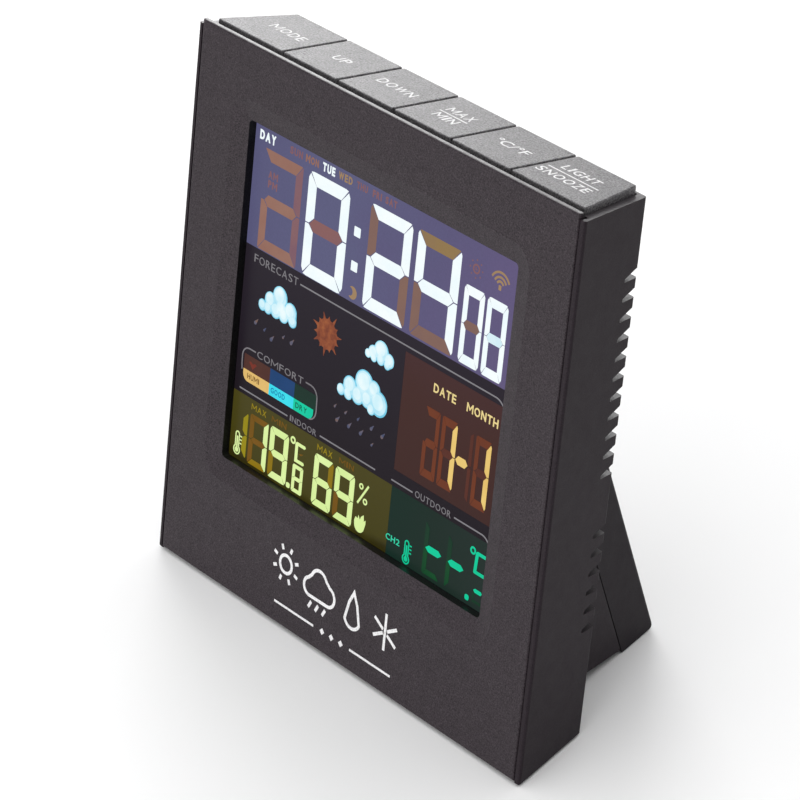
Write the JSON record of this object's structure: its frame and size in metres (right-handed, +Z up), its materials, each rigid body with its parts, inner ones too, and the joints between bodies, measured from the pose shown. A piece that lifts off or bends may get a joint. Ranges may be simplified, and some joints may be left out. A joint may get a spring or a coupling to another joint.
{
  "type": "home weather station",
  "caption": "Square black table-top weather station leaning on a wedge-shaped battery housing, with a recessed colour display and a row of flat top buttons.",
  "frame": {"origin": "centre of the ground rectangle under the whole object, on the surface it stands on", "axes": "+Z up, the display faces -Y and leans back by 10 degrees, +X to the right of someone reading it"},
  "size_m": [0.1402, 0.0668, 0.1381],
  "materials": {
    "panel_plastic": "fine textured",
    "cover_plastic": "fine textured",
    "button_plastic": "fine textured",
    "display_glass": "satin",
    "light_guide": "satin",
    "frame_plastic": "matte",
    "strip_rubber": "matte",
    "circuit_board": "satin",
    "black_resin": "matte",
    "switch_plastic": "matte",
    "radio_board": "satin",
    "ferrite": "matte",
    "copper_wire": "satin",
    "cell_wrap": "gloss",
    "nickel_plate": "satin",
    "screw_steel": "satin",
    "foot_rubber": "matte"
  },
  "bodies": {
    "case": {"front_panel": "panel_plastic", "rear_cover": "cover_plastic", "lcd_glass": "display_glass", "backlight_panel": "light_guide", "display_frame": "frame_plastic", "contact_strips": "strip_rubber", "main_board": "circuit_board", "main_chip": "black_resin", "button_rail": "cover_plastic", "button_board": "circuit_board", "tact_switches": "switch_plastic", "dc_jack": "black_resin", "buzzer": "black_resin", "receiver_board": "radio_board", "antenna_rod": "ferrite", "antenna_coil": "copper_wire", "sensor_board": "radio_board", "battery_cells": "cell_wrap", "contact_plates": "nickel_plate", "contact_springs": "nickel_plate", "case_screws": "screw_steel", "board_screws": "screw_steel", "rubber_feet": "foot_rubber"},
    "battery_cover": {"battery_cover": "cover_plastic"},
    "button_mode": {"button_mode": "button_plastic"},
    "button_up": {"button_up": "button_plastic"},
    "button_down": {"button_down": "button_plastic"},
    "button_max_min": {"button_max_min": "button_plastic"},
    "button_unit": {"button_unit": "button_plastic"},
    "button_light_snooze": {"button_light_snooze": "button_plastic"}
  },
  "joints": [
    {"name": "button_mode_press", "type": "slide", "parent": "case", "child": "button_mode", "axis": [0, -0.1736, -0.9848], "range_m": [0, 0.0006], "stiffness_N_per_m": 600, "springref_m": -0.0004},
    {"name": "button_up_press", "type": "slide", "parent": "case", "child": "button_up", "axis": [0, -0.1736, -0.9848], "range_m": [0, 0.0006], "stiffness_N_per_m": 600, "springref_m": -0.0004},
    {"name": "button_down_press", "type": "slide", "parent": "case", "child": "button_down", "axis": [0, -0.1736, -0.9848], "range_m": [0, 0.0006], "stiffness_N_per_m": 600, "springref_m": -0.0004},
    {"name": "button_max_min_press", "type": "slide", "parent": "case", "child": "button_max_min", "axis": [0, -0.1736, -0.9848], "range_m": [0, 0.0006], "stiffness_N_per_m": 600, "springref_m": -0.0004},
    {"name": "button_unit_press", "type": "slide", "parent": "case", "child": "button_unit", "axis": [0, -0.1736, -0.9848], "range_m": [0, 0.0006], "stiffness_N_per_m": 600, "springref_m": -0.0004},
    {"name": "button_light_snooze_press", "type": "slide", "parent": "case", "child": "button_light_snooze", "axis": [0, -0.1736, -0.9848], "range_m": [0, 0.0006], "stiffness_N_per_m": 600, "springref_m": -0.0004},
    {"name": "battery_cover_hinge", "type": "hinge", "parent": "case", "child": "battery_cover", "pos_m": [0, 0.00614, 0.07606], "axis": [1, 0, 0], "range_deg": [0, 95]}
  ]
}
